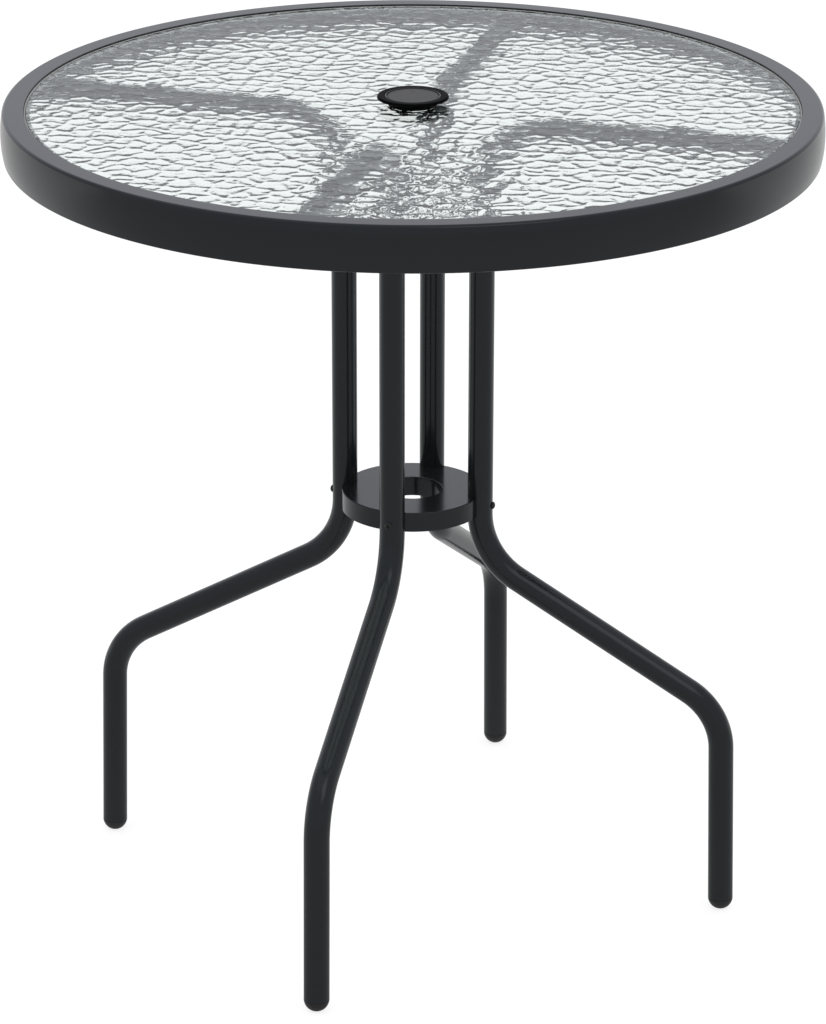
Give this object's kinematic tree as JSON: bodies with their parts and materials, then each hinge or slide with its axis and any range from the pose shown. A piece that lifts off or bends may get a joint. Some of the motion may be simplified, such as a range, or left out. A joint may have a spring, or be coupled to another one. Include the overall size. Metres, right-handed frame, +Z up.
{
  "type": "umbrella table",
  "caption": "Round patio table with a rippled glass top in a steel rim, a capped umbrella hole, and bent tube legs joined by a hub ring.",
  "frame": {"origin": "on the floor below the middle of the round top", "axes": "+Z up; the four legs stand along +X (right), +Y (back), -X (left) and -Y (front)"},
  "size_m": [0.7044, 0.7044, 0.7316],
  "materials": {
    "frame_paint": "satin dark grey powder coat",
    "glass": "clear tempered glass with a pebbled ripple",
    "seal": "matt black seal",
    "pad_rubber": "matt black rubber",
    "ring_plastic": "glossy black moulded plastic",
    "cap_plastic": "satin brown-black moulded plastic",
    "foot_plastic": "satin black moulded plastic",
    "black_screw": "black oxide screw",
    "zinc_steel": "zinc plated"
  },
  "bodies": {
    "table": {"rim": "frame_paint", "glass_seal": "seal", "glass_top": "glass", "umbrella_ring": "ring_plastic", "hub_ring": "frame_paint", "hub_base_plate": "frame_paint", "hub_screws": "black_screw", "hub_nuts": "zinc_steel", "arm_bolts": "zinc_steel", "arm_nuts": "zinc_steel", "arm_washers": "zinc_steel", "leg_right": "frame_paint", "foot_cap_right": "foot_plastic", "arm_plug_right": "foot_plastic", "rim_bracket_right": "frame_paint", "glass_pad_right": "pad_rubber", "leg_back": "frame_paint", "foot_cap_back": "foot_plastic", "arm_plug_back": "foot_plastic", "rim_bracket_back": "frame_paint", "glass_pad_back": "pad_rubber", "leg_left": "frame_paint", "foot_cap_left": "foot_plastic", "arm_plug_left": "foot_plastic", "rim_bracket_left": "frame_paint", "glass_pad_left": "pad_rubber", "leg_front": "frame_paint", "foot_cap_front": "foot_plastic", "arm_plug_front": "foot_plastic", "rim_bracket_front": "frame_paint", "glass_pad_front": "pad_rubber"},
    "cap": {"umbrella_cap": "cap_plastic"}
  },
  "joints": [
    {"name": "cap_lift", "type": "slide", "parent": "table", "child": "cap", "axis": [0, 0, 1], "range_m": [0, 0.08]}
  ]
}
